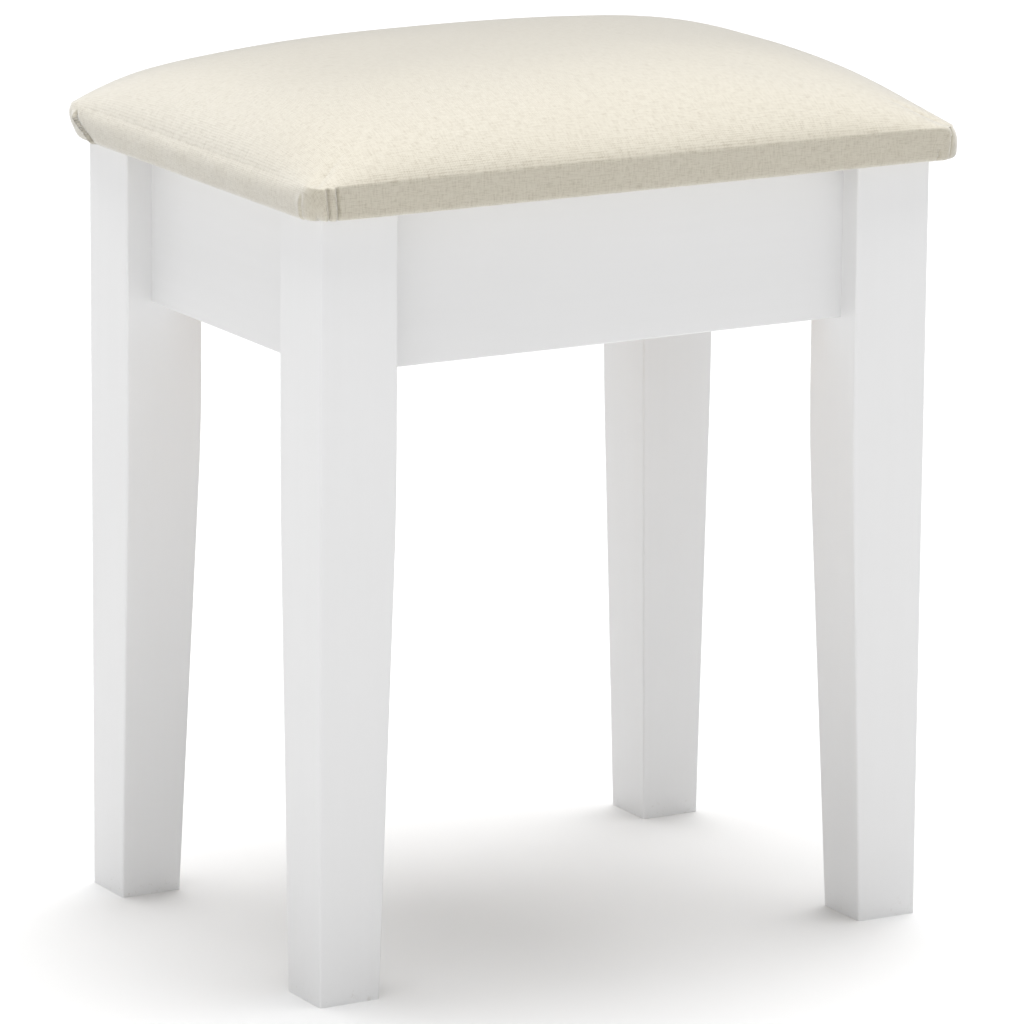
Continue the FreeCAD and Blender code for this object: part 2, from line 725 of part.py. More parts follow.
def seat_screw_in_board(s, corner, along_x, along_y):
    """Where a corner's seat screw is in the stool's own frame."""
    x, y = seat_screw_place(s)
    if corner in ("front_right", "back_left"):
        x, y = y, x
    return corner_point(s, along_x, along_y, x, y)


def cut(doc, label, base, tool):
    """Cut one object out of another, and make sure that it did cut."""
    piece = doc.addObject("Part::Cut", label)
    piece.Label = label
    piece.Base = base
    piece.Tool = tool
    doc.recompute()
    if piece.Shape.Volume > base.Shape.Volume - 1e-3:
        raise RuntimeError("%s: %s cuts nothing" % (label, tool.Label))
    return piece


def crown_fraction(level, power):
    """Part of the half width that is left at a level of the crown, from 0 to 1."""
    return (1 - level ** (1 / CROWN_FLATNESS)) ** (1 / power)


def crowned_body(doc, s, name, inset, floor, edge, top):
    """A closed pad: straight sides from floor up to edge, then a crown up to top.

    inset is how far its sides lie inside the outside of the cover.
    """
    body = add_body(doc, name)
    half_x = s["seat_width"] / 2 - inset
    half_y = s["seat_depth"] / 2 - inset
    corner = s["seat_corner"] - inset
    if edge.value > floor.value:
        base = add_sketch(body, name + "_base", "XY_Plane", floor)
        rounded_rectangle(base, half_x, half_y, corner)
        pad(body, base, edge - floor)
    sections = []
    for number, level in enumerate(CROWN_LEVELS):
        section = add_sketch(body, "%s_level%d" % (name, number), "XY_Plane", edge + (top - edge) * level)
        shrunk = level * CROWN_TOP_SHRINK
        wide = half_x * crown_fraction(shrunk, CROWN_POWER_X)
        deep = half_y * crown_fraction(shrunk, CROWN_POWER_Y)
        radius = corner + (deep - corner) * shrunk * CROWN_CORNER_GROWTH
        rounded_rectangle(section, wide, deep, radius)
        sections.append(section)
    loft = body.newObject("PartDesign::AdditiveLoft", name + "_crown")
    loft.Profile = sections[0]
    loft.Sections = sections[1:]
    doc.recompute()
    return body


def board_top(s):
    return s["frame_height"] + s["cover_thickness"] + s["board_thickness"]


def make_foam(doc, s):
    """Foam pad glued on the board."""
    inset = s["cover_thickness"] + s["foam_gap"]
    low = board_top(s)
    top = low + s["crown_rise"] - s["foam_gap"]
    return crowned_body(doc, s, "seat_foam", inset, low, low, top)


def make_cover(doc, s, cutters):
    """Thin cover over the pad and the board's edge, with a hem turned under the board."""
    none = Size("(0)", 0.0)
    cloth = s["cover_thickness"]
    low = s["frame_height"]
    edge = board_top(s)
    rise = s["crown_rise"]
    outside = crowned_body(doc, s, "cover_outside", none, low, edge + cloth, edge + cloth + rise)
    inside = crowned_body(doc, s, "cover_inside", cloth, low + cloth, edge, edge + rise)
    shell = cut(doc, "cover_shell", outside, inside)
    opening = add_body(doc, "hem_opening")
    plan = add_sketch(opening, "hem_opening_plan", "XY_Plane", low - cloth)
    rectangle(plan, s["seat_width"] / 2 - s["hem_width"], s["seat_depth"] / 2 - s["hem_width"])
    pad(opening, plan, cloth * 3)
    hemmed = cut(doc, "cover_hemmed", shell, opening)
    pierced = cut(doc, "cover_pierced", hemmed, cutters)
    return cut(doc, "seat_cover", pierced, screw_clearance(doc, s))


def screw_clearance(doc, s):
    """Pins that leave room for the seat screws through the hem."""
    pins = []
    for corner, _, along_x, along_y in CORNERS:
        pin = doc.addObject("Part::Cylinder", "hem_hole_" + corner)
        bind(pin, "Radius", s["screw_radius"] + s["fit_gap"] * 2)
        bind(pin, "Height", s["cover_thickness"] * 3)
        x, y = seat_screw_in_board(s, corner, along_x, along_y)
        place(pin, (x, y, s["frame_height"] - s["cover_thickness"]))
        pins.append(pin)
    return group(doc, "hem_holes", pins)


# ---------------------------------------------------------------- the whole stool


def build(doc):
    """Make every sub-part, in the order in which the stool is assembled."""
    s = make_sheet(doc)
    pieces = []
    for corner in CORNERS:
        pieces.append(make_leg(doc, s, *corner))
    for apron in APRONS:
        pieces.append(make_apron(doc, s, *apron))
    for corner in CORNERS:
        pieces.append(make_block(doc, s, *corner))
    pieces.append(make_dowels(doc, s))
    pieces.append(make_hanger_bolts(doc, s))
    pieces.append(make_washers(doc, s))
    pieces.append(make_nuts(doc, s))
    pieces.append(make_side_screws(doc, s))
    pieces.append(make_seat_screws(doc, s))
    staples = make_staples(doc, s)
    pieces.append(make_board(doc, s, staples))
    pieces.append(make_foam(doc, s))
    pieces.append(make_cover(doc, s, staples))
    pieces.append(staples)
    return pieces


def check(doc, pieces):
    """Stop if any object failed, or any sub-part is empty or not a valid shape."""
    for thing in doc.Objects:
        if "Invalid" in thing.State or "Error" in thing.State:
            raise RuntimeError("%s failed: %s" % (thing.Label, thing.State))
    for piece in pieces:
        if piece.Shape.isNull() or not piece.Shape.isValid() or not piece.Shape.Solids:
            raise RuntimeError("%s has no valid solid" % piece.Label)


def write(pieces):
    os.makedirs("parts", exist_ok=True)
    for piece in pieces:
        piece.Shape.exportStep("parts/%s.step" % piece.Label)
        box = piece.Shape.BoundBox
        print("%-28s %3d solids %10.1f mm3  z %6.1f to %6.1f" % (
            piece.Label, len(piece.Shape.Solids), piece.Shape.Volume, box.ZMin, box.ZMax))


def main():
    doc = FreeCAD.newDocument("dressing_stool")
    pieces = build(doc)
    doc.recompute()
    check(doc, pieces)
    write(pieces)


main()
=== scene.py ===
"""Dressing stool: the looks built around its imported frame, in metres.

X runs along the seat's long side, Y from front to back and Z up, with the floor at z = 0.
The cushion is worked out in millimetres above its own lower face, and placed at the end.
"""

import math

import bmesh
import bpy
import numpy as np
from mathutils import Matrix, Vector, noise


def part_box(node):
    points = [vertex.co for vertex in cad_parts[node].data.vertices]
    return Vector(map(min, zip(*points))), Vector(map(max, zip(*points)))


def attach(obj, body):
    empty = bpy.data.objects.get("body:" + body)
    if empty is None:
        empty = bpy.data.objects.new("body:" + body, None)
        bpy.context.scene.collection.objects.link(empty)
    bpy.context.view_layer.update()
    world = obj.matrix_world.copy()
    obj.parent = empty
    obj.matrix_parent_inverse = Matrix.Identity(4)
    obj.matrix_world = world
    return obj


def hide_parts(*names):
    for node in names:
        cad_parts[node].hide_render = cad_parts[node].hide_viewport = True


MM = 0.001
CORNERS = ["front_left", "front_right", "back_right", "back_left"]

# Camera: where it stands, where it looks and how much it is tilted.
CAMERA_AT = Vector((-1.7563, -3.0822, 1.0557))
CAMERA_AZIMUTH = math.radians(29.74)
CAMERA_DROP = math.radians(13.48)
CAMERA_ROLL = math.radians(0.44)
CAMERA_LENS = 250.6
CAMERA_SENSOR = 36.0

# Seat, in millimetres.
BREAK_RISE = 17.0        # top of the straight band above the seat's lower face
CROWN_RISE = 38.0        # top of the crown above the band
CORNER_RADIUS = 10.0     # the cover's corners, seen from above
BOTTOM_ROUND = 3.0       # round between the band and the hem
CLOTH = 0.9              # thickness of the woven cover
HEM_WIDTH = 47.0
BOARD_CORNER = 22.0
BOARD_THICK = 15.0
BOARD_TOP = 16.0         # above the seat's lower face
GAP = 0.15               # between the cushion and the board

# Plan of the cushion, where a ring runs from 0 at the middle to 1 at the edge.
ROUND_FROM = 0.75        # ring where the corners start to be round
SPREAD_FROM = 0.80       # ring where the crown starts to stand out with the sides
OUTWARD_POWER = 20       # how quickly the outward direction turns at a corner

# Crown profile, (1 - |u| ^ power) ^ flatness, along X, and towards the front and the back.
# The shift says how far in from the edge the curve is taken up: none keeps it upright there,
# more makes it start at a slope.
CROWN_SIDES = (4.6, 0.385, 0.016)
CROWN_FRONT = (3.0, 0.62, 0.008)
CROWN_BACK = (2.6, 0.36, 0.004)

# How far each side of the cushion stands out at the top and at the bottom of the band.
BULGE = {"left": (3.4, 0.0), "right": (6.2, 5.4), "front": (0.3, 0.0), "back": (0.3, 0.0)}
# On the short sides the band's upper part rolls in towards the crown: height where the roll
# starts, and how far it has gone at the top of the band, at the corners and in the middle.
ROLL_START = 5.0
ROLL_AT_CORNER = 4.0
ROLL_AT_MIDDLE = 5.0
ROLL_BLEND = 0.3         # part of the half side over which the roll grows to its middle value
# How far the cloth is drawn in under each corner.
CORNER_TUCK = [5.0, 1.0, 4.0, 10.0]

# Folds at the corners: corner number, distance along the edge from the corner's middle at the
# bottom and at the top of the fold, height of its top, lip height and crease depth.
FOLDS = [
    (0, 6.5, 5.0, 17.0, 1.0, 1.6),
    (0, 11.5, 10.0, 17.0, 1.1, 1.8),
    (0, -11.0, -9.0, 13.0, 0.5, 0.6),
    (1, -3.0, -2.5, 17.0, 1.1, 1.9),
    (1, -9.5, -9.0, 6.0, 0.5, 1.2),
    (2, 3.0, 1.0, 17.0, 1.0, 1.6),
    (2, -8.0, -5.0, 16.0, 0.8, 1.4),
    (3, 30.0, 13.0, 14.0, 1.8, 2.8),
    (3, 3.0, 1.0, 7.0, 0.6, 1.0),
]
FOLD_LIP = 5.0           # width of the raised cloth beside a crease
FOLD_CREASE = 1.3        # width of the crease
FOLD_FADE = 4.0          # height over which a fold dies away at its top
CREASE_MIDDLE = 0.8      # the crease's deepest place, in widths from the lip
CREASE_SHARPNESS = 4.0

# Mesh of the cushion: distance in from the edge, and the grid's spacing from there on.
GRID_STEPS = [(0.0, 0.6), (16.0, 1.1), (36.0, 2.8)]
BAND_DROPS = (0.4, 0.9, 1.5, 2.3, 3.2, 4.2, 5.2, 6.2, 7.2, 8.2, 9.2, 10.2, 11.2, 12.2, 13.1)
BOTTOM_STEPS = 6         # steps round the bottom edge
HEM_PARTS = (0.12, 0.3, 0.55, 0.8, 1.0)
HEM_RAGGED = 0.7         # how uneven the hem's cut edge is
BAND_WAVE = 0.25         # how uneven the band is
CEILING_RING = 0.6       # last ring over the board, as a part of its size

# Cloth simulation of the crown.
CLOTH_STEP = 5.0         # spacing of the simulated grid
CLOTH_FRAMES = 20
CLOTH_START = 0.93       # the crown's rise before it is blown up, as a part of the whole
CLOTH_CAP = 6.0          # no point moves further than this
CALM_PASSES = 8          # times the moves are evened out with their neighbours


# ---------------------------------------------------------------- cushion: plan and crown


def grid_lines(half):
    """Places from -1 to 1 across a side, closer together near both ends."""
    places = [half]
    while places[-1] > GRID_STEPS[-1][1]:
        inside = half - places[-1]
        step = [gap for start, gap in GRID_STEPS if inside >= start][-1]
        places.append(places[-1] - step)
    outer = [place / half for place in places if place > GRID_STEPS[-1][1] * 0.5]
    return [-place for place in outer] + [0.0] + outer[::-1]


def crown_part(place, profile):
    power, flatness, shift = profile
    low = (1 - (1 - shift) ** power) ** flatness
    here = (1 - (abs(place) * (1 - shift)) ** power) ** flatness
    return max(0.0, (here - low) / (1 - low))


def crown_height(u, v):
    """Height of the crown above the band before it is blown up, with u and v from -1 to 1."""
    across = crown_part(v, CROWN_BACK if v > 0 else CROWN_FRONT)
    return CROWN_RISE * CLOTH_START * crown_part(u, CROWN_SIDES) * across


def outline_point(u, v, half_x, half_y, corner_radius):
    """A point at (u, v) of a rectangle whose corners grow round towards its edge."""
    ring = max(abs(u), abs(v))
    if ring == 0:
        return 0.0, 0.0
    radius = corner_radius * smooth((ring - ROUND_FROM) / (1 - ROUND_FROM))
    x = half_x * u / ring
    y = half_y * v / ring
    over_x = abs(x) - half_x + radius
    over_y = abs(y) - half_y + radius
    if over_x > 0 and over_y > 0:
        reach = math.hypot(over_x, over_y)
        x = math.copysign(half_x - radius + over_x / reach * radius, x)
        y = math.copysign(half_y - radius + over_y / reach * radius, y)
    return x * ring, y * ring


def outward(u, v):
    """Outward direction at (u, v), which turns smoothly from one side to the next."""
    along_x = abs(u) ** OUTWARD_POWER
    along_y = abs(v) ** OUTWARD_POWER
    length = math.hypot(along_x, along_y)
    if length == 0:
        return 0.0, 0.0
    return math.copysign(along_x / length, u), math.copysign(along_y / length, v)


def smooth(value):
    value = min(1.0, max(0.0, value))
    return value * value * (3 - 2 * value)


def side_bulge(out_x, out_y, down):
    """How far the band stands out, with down from 0 at its top to 1 at its bottom."""
    part_x = BULGE["right"] if out_x > 0 else BULGE["left"]
    part_y = BULGE["back"] if out_y > 0 else BULGE["front"]
    high = part_x[0] * out_x * out_x + part_y[0] * out_y * out_y
    low = part_x[1] * out_x * out_x + part_y[1] * out_y * out_y
    return high + (low - high) * smooth(down)


def roll_in(out_x, v):
    """How far the top of the band has rolled in towards the crown."""
    middle = smooth((1 - abs(v)) / ROLL_BLEND)
    return out_x * out_x * (ROLL_AT_CORNER + (ROLL_AT_MIDDLE - ROLL_AT_CORNER) * middle)


def rim_loop(us, vs):
    """Grid indices round the edge, anticlockwise from the front left corner."""
    last_i = len(us) - 1
    last_j = len(vs) - 1
    loop = [(i, 0) for i in range(last_i)]
    loop += [(last_i, j) for j in range(last_j)]
    loop += [(i, last_j) for i in range(last_i, 0, -1)]
    loop += [(0, j) for j in range(last_j, 0, -1)]
    return loop


# ---------------------------------------------------------------- cushion: cloth simulation


def simulate_crown(half_x, half_y):
    """Blow up a coarse crown as cloth held round its edge, and return each grid point's move."""
    count_x = 2 * round(half_x / CLOTH_STEP) + 1
    count_y = 2 * round(half_y / CLOTH_STEP) + 1
    us = np.linspace(-1, 1, count_x)
    vs = np.linspace(-1, 1, count_y)
    points = []
    for level in (1, 0):
        for u in us:
            for v in vs:
                x, y = outline_point(u, v, half_x, half_y, CORNER_RADIUS)
                height = crown_height(u, v) if level else -BREAK_RISE
                points.append((x * MM, y * MM, height * MM))
    under = count_x * count_y
    faces = []
    for i in range(count_x - 1):
        for j in range(count_y - 1):
            a = i * count_y + j
            faces.append((a, a + count_y, a + count_y + 1, a + 1))
            faces.append((a + under, a + under + 1, a + under + count_y + 1, a + under + count_y))
    loop = [i * count_y + j for i, j in rim_loop(us, vs)]
    for index, start in enumerate(loop):
        end = loop[(index + 1) % len(loop)]
        faces.append((start, start + under, end + under, end))
    mesh = bpy.data.meshes.new("crown_cloth")
    mesh.from_pydata(points, [], faces)
    piece = bpy.data.objects.new("crown_cloth", mesh)
    bpy.context.scene.collection.objects.link(piece)
    held = piece.vertex_groups.new(name="held")
    held.add(loop + list(range(under, 2 * under)), 1.0, "REPLACE")
    run_cloth(piece)
    settled = piece.evaluated_get(bpy.context.evaluated_depsgraph_get()).data
    after = np.array([vertex.co for vertex in settled.vertices])[:under]
    moved = (after - np.array(points)[:under]) / MM
    far = np.linalg.norm(moved, axis=1, keepdims=True)
    moved *= np.minimum(1.0, CLOTH_CAP / np.maximum(far, 1e-9))
    moved = calm(moved.reshape(count_x, count_y, 3))
    bpy.data.objects.remove(piece)
    bpy.data.meshes.remove(mesh)
    return moved


def calm(moves):
    """Even out the small ripples of the coarse grid, and leave its edge where it is."""
    for _ in range(CALM_PASSES):
        middle = moves[1:-1, 1:-1]
        beside = moves[:-2, 1:-1] + moves[2:, 1:-1] + moves[1:-1, :-2] + moves[1:-1, 2:]
        moves[1:-1, 1:-1] = (middle + beside) / 5
    return moves


def run_cloth(piece):
    """Cloth with air pressure under it and no gravity."""
    cloth = piece.modifiers.new("cloth", "CLOTH")
    settings = cloth.settings
    settings.quality = 6
    settings.mass = 0.3
    settings.air_damping = 2.0
    settings.tension_stiffness = 60
    settings.compression_stiffness = 10
    settings.shear_stiffness = 8
    settings.bending_stiffness = 0.4
    settings.shrink_min = -0.002
    settings.vertex_group_mass = "held"
    settings.pin_stiffness = 1.0
    settings.use_pressure = True
    settings.uniform_pressure_force = 2.0
    settings.effector_weights.gravity = 0.0
    cloth.collision_settings.use_collision = False
    cloth.point_cache.frame_start = 1
    cloth.point_cache.frame_end = CLOTH_FRAMES
    for frame_number in range(1, CLOTH_FRAMES + 1):
        bpy.context.scene.frame_set(frame_number)


def cubic_weights(offset):
    """Weights of four neighbours in a row for a smooth curve through them."""
    a = offset
    return (
        -0.5 * a + a * a - 0.5 * a ** 3,
        1 - 2.5 * a * a + 1.5 * a ** 3,
        0.5 * a + 2 * a * a - 1.5 * a ** 3,
        -0.5 * a * a + 0.5 * a ** 3,
    )


def sample_grid(moves, u, v):
    """The simulated move at (u, v), read smoothly from the coarse grid."""
    spans = []
    for place, count in ((u, moves.shape[0]), (v, moves.shape[1])):
        position = (place + 1) / 2 * (count - 1)
        cell = min(int(position), count - 2)
        spans.append((cell, count, cubic_weights(position - cell)))
    total = np.zeros(3)
    for step_x, weight_x in enumerate(spans[0][2]):
        column = min(max(spans[0][0] + step_x - 1, 0), spans[0][1] - 1)
        for step_y, weight_y in enumerate(spans[1][2]):
            row = min(max(spans[1][0] + step_y - 1, 0), spans[1][1] - 1)
            total += weight_x * weight_y * moves[column, row]
    return total


# ---------------------------------------------------------------- cushion: band, folds and hem


def measure_rim(us, vs, half_x, half_y):
    """Plan point, outward direction, distance along the edge and (u, v) of each rim point."""
    rim = []
    distance = 0.0
    for i, j in rim_loop(us, vs):
        x, y = outline_point(us[i], vs[j], half_x, half_y, CORNER_RADIUS)
        out_x, out_y = outward(us[i], vs[j])
        if rim:
            distance += math.hypot(x - rim[-1][0], y - rim[-1][1])
        rim.append((x, y, out_x, out_y, distance, us[i], vs[j]))
    return rim


def corner_distances(rim):
    """Distance along the edge at the middle of each corner."""
    return [point[4] for point in rim if abs(point[5]) == 1 and abs(point[6]) == 1]


def fold_push(distance, height, corners, around):
    """How far the folds push the cloth out at a place on the band."""
    push = 0.0
    for corner, low, high, top, lip, crease in FOLDS:
        lean = smooth(height / top)
        away = distance - corners[corner] - (low + (high - low) * lean)
        away = (away + around / 2) % around - around / 2
        fade = smooth((top + 1.5 - height) / FOLD_FADE)
        if -FOLD_LIP < away <= 0:
            push += lip * fade * smooth(1 + away / FOLD_LIP)
        elif 0 < away < FOLD_CREASE * 2.5:
            across = away / FOLD_CREASE
            push -= crease * fade * math.exp(-(across - CREASE_MIDDLE) ** 2 * CREASE_SHARPNESS)
    return push


def band_rows():
    """Heights of the band's rows with how far each is drawn in by the bottom round."""
    rows = [(BREAK_RISE - drop, 0.0) for drop in BAND_DROPS]
    for step in range(BOTTOM_STEPS + 1):
        angle = math.radians(90 * step / BOTTOM_STEPS)
        drop = BREAK_RISE - BOTTOM_ROUND + BOTTOM_ROUND * math.sin(angle)
        rows.append((BREAK_RISE - drop, BOTTOM_ROUND * (1 - math.cos(angle))))
    return rows


def band_point(point, height, drawn_in, corners, around):
    """Where one point of the band lies, from its place on the rim and its height."""
    x, y, out_x, out_y, distance, _, v = point
    down = 1 - height / BREAK_RISE
    out = side_bulge(out_x, out_y, down)
    corner = (1 if out_x > 0 else 0) if out_y < 0 else (2 if out_x > 0 else 3)
    tuck = CORNER_TUCK[corner] * (2 * abs(out_x * out_y)) ** 1.5
    out -= tuck * down ** 2.2
    rolled = max(0.0, height - ROLL_START) / (BREAK_RISE - ROLL_START)
    out -= roll_in(out_x, v) * rolled ** 2
    out -= drawn_in
    out += fold_push(distance, height, corners, around)
    out += BAND_WAVE * noise.noise(Vector((x, y, height * 2)) * 0.06) * smooth(down * 4)
    return keep_off_board(x + out_x * out, y + out_y * out, height)


def keep_off_board(x, y, height):
    """Push a point out until the cloth's thickness lies between it and the board."""
    if height < BOARD_TOP - BOARD_THICK or height > BOARD_TOP:
        return x, y, height
    over_x = abs(x) - (BOARD_HALF[0] - BOARD_CORNER)
    over_y = abs(y) - (BOARD_HALF[1] - BOARD_CORNER)
    out = math.hypot(max(over_x, 0), max(over_y, 0)) + min(max(over_x, over_y), 0) - BOARD_CORNER
    short = CLOTH * 0.5 + GAP - out
    if short <= 0:
        return x, y, height
    reach = math.hypot(max(over_x, 0), max(over_y, 0)) or 1.0
    x += math.copysign(max(over_x, 0) / reach * short, x)
    y += math.copysign(max(over_y, 0) / reach * short, y)
    return x, y, height


def crown_points(us, vs, half_x, half_y, moves):
    """Points of the crown, with their places on the flat cloth."""
    points = []
    flat = []
    for u in us:
        for v in vs:
            x, y = outline_point(u, v, half_x, half_y, CORNER_RADIUS)
            out_x, out_y = outward(u, v)
            ring = max(abs(u), abs(v))
            spread = side_bulge(out_x, out_y, 0.0) - roll_in(out_x, v)
            spread *= smooth((ring - SPREAD_FROM) / (1 - SPREAD_FROM))
            spot = np.array([x + out_x * spread, y + out_y * spread, BREAK_RISE + crown_height(u, v)])
            points.append(spot + sample_grid(moves, u, v))
            flat.append((x, y))
    return points, flat


def hem_rows(rim, lowest, half_x, half_y):
    """Rows of the hem from the band's lower edge to the cut edge, with their flat places."""
    rows = []
    for part in HEM_PARTS:
        spots = []
        sheet = []
        away = BREAK_RISE + HEM_WIDTH * part
        for point, low in zip(rim, lowest):
            inner_x = (half_x - HEM_WIDTH) * point[5]
            inner_y = (half_y - HEM_WIDTH) * point[6]
            ragged = HEM_RAGGED * noise.noise(Vector((inner_x, inner_y, 3.0)) * 0.15) * part
            x = low[0] + (inner_x - low[0]) * part + ragged * point[2]
            y = low[1] + (inner_y - low[1]) * part + ragged * point[3]
            spots.append((x, y, 0.0))
            sheet.append((point[0] + point[2] * away, point[1] + point[3] * away))
        rows.append((spots, sheet))
    return rows


def hollow_rows(rim, cut_edge, sheet):
    """Rows from the hem's cut edge round the space that the board fills."""
    wall = []
    for point in rim:
        place = outline_point(
            point[5], point[6], BOARD_HALF[0] + GAP, BOARD_HALF[1] + GAP, BOARD_CORNER + GAP)
        wall.append(place)
    ceiling = BOARD_TOP + GAP
    return [
        ([(x, y, CLOTH) for x, y, _ in cut_edge], sheet),
        ([(x, y, CLOTH) for x, y in wall], sheet),
        ([(x, y, ceiling) for x, y in wall], sheet),
        ([(x * CEILING_RING, y * CEILING_RING, ceiling) for x, y in wall], sheet),
    ]


def cushion_faces(us, vs, loops):
    """Faces of the crown's grid, and between each loop and the next."""
    faces = []
    for i in range(len(us) - 1):
        for j in range(len(vs) - 1):
            a = i * len(vs) + j
            faces.append((a, a + len(vs), a + len(vs) + 1, a + 1))
    for upper, lower in zip(loops, loops[1:]):
        for index in range(len(upper)):
            after = (index + 1) % len(upper)
            faces.append((upper[index], lower[index], lower[after], upper[after]))
    return faces


def add_cushion(points, faces, flat, base):
    """The cushion's object, with the flat places as the cloth's coordinates."""
    mesh = bpy.data.meshes.new("seat_cushion")
    mesh.from_pydata([(x * MM, y * MM, base + z * MM) for x, y, z in points], [], faces)
    layer = mesh.uv_layers.new(name="cloth")
    for corner in mesh.loops:
        x, y = flat[corner.vertex_index]
        layer.data[corner.index].uv = (x * MM, y * MM)
    mesh.polygons.foreach_set("use_smooth", [True] * len(mesh.polygons))
    cushion = bpy.data.objects.new("seat_cushion", mesh)
    bpy.context.scene.collection.objects.link(cushion)
    return cushion


def build_cushion(half_x, half_y, base, moves):
    """The padded seat as one mesh: crown, band, hem and the space round the board."""
    us = grid_lines(half_x)
    vs = grid_lines(half_y)
    points, flat = crown_points(us, vs, half_x, half_y, moves)
    rim = measure_rim(us, vs, half_x, half_y)
    corners = corner_distances(rim)
    around = rim[-1][4] + math.dist(rim[-1][:2], rim[0][:2])
    rows = []
    for height, drawn_in in band_rows():
        drop = BREAK_RISE - height
        spots = [band_point(point, height, drawn_in, corners, around) for point in rim]
        rows.append((spots, [(p[0] + p[2] * drop, p[1] + p[3] * drop) for p in rim]))
    rows += hem_rows(rim, rows[-1][0], half_x, half_y)
    rows += hollow_rows(rim, *rows[-1])
    loops = [[i * len(vs) + j for i, j in rim_loop(us, vs)]]
    for spots, sheet in rows:
        loops.append(list(range(len(points), len(points) + len(spots))))
        points.extend(spots)
        flat.extend(sheet)
    return add_cushion(points, cushion_faces(us, vs, loops), flat, base)


def close_underside(mesh):
    """Fill the flat face over the board, and turn every face outward."""
    shape = bmesh.new()
    shape.from_mesh(mesh)
    bmesh.ops.holes_fill(shape, edges=[edge for edge in shape.edges if edge.is_boundary], sides=0)
    bmesh.ops.recalc_face_normals(shape, faces=shape.faces)
    shape.to_mesh(mesh)
    shape.free()


# ---------------------------------------------------------------- materials


class Shader:
    """A material's node tree, with short ways to add and join nodes."""

    def __init__(self, name):
        self.material = bpy.data.materials.new(name)
        self.material.use_nodes = True
        self.tree = self.material.node_tree
        self.surface = self.tree.nodes["Principled BSDF"]

    def add(self, kind, inputs=None, **settings):
        node = self.tree.nodes.new(kind)
        for name, value in settings.items():
            setattr(node, name, value)
        for name, value in (inputs or {}).items():
            self.give(node.inputs[name], value)
        return node

    def give(self, socket, value):
        if isinstance(value, bpy.types.NodeSocket):
            self.tree.links.new(value, socket)
        else:
            socket.default_value = value

    def math(self, operation, first, second=0.0, clamp=False):
        node = self.add("ShaderNodeMath", {0: first, 1: second}, operation=operation, use_clamp=clamp)
        return node.outputs[0]

    def stretched(self, source, scale):
        """The given coordinates, multiplied along each axis."""
        node = self.add("ShaderNodeVectorMath", {0: source, 1: scale}, operation="MULTIPLY")
        return node.outputs[0]

    def noise(self, where, scale=1.0, detail=2.0, roughness=0.5):
        node = self.add("ShaderNodeTexNoise", {
            "Vector": where, "Scale": scale, "Detail": detail, "Roughness": roughness})
        return node.outputs["Fac"]

    def blend(self, factor, first, second):
        node = self.add("ShaderNodeMix", data_type="RGBA")
        self.give(node.inputs[0], factor)
        self.give(node.inputs[6], first)
        self.give(node.inputs[7], second)
        return node.outputs[2]

    def ramp(self, factor, low, high):
        """Zero below low and one above high."""
        node = self.add("ShaderNodeMapRange", {"Value": factor, "From Min": low, "From Max": high})
        return node.outputs[0]

    def bump(self, height, distance, strength=1.0, under=None):
        node = self.add("ShaderNodeBump", {
            "Height": height, "Distance": distance, "Strength": strength})
        if under is not None:
            self.give(node.inputs["Normal"], under)
        return node.outputs[0]

    def place(self):
        """Position on the object, in metres."""
        return self.add("ShaderNodeTexCoord").outputs["Object"]

    def set(self, **values):
        for name, value in values.items():
            self.give(self.surface.inputs[name.replace("_", " ")], value)


def colour(red, green, blue):
    return (red, green, blue, 1.0)


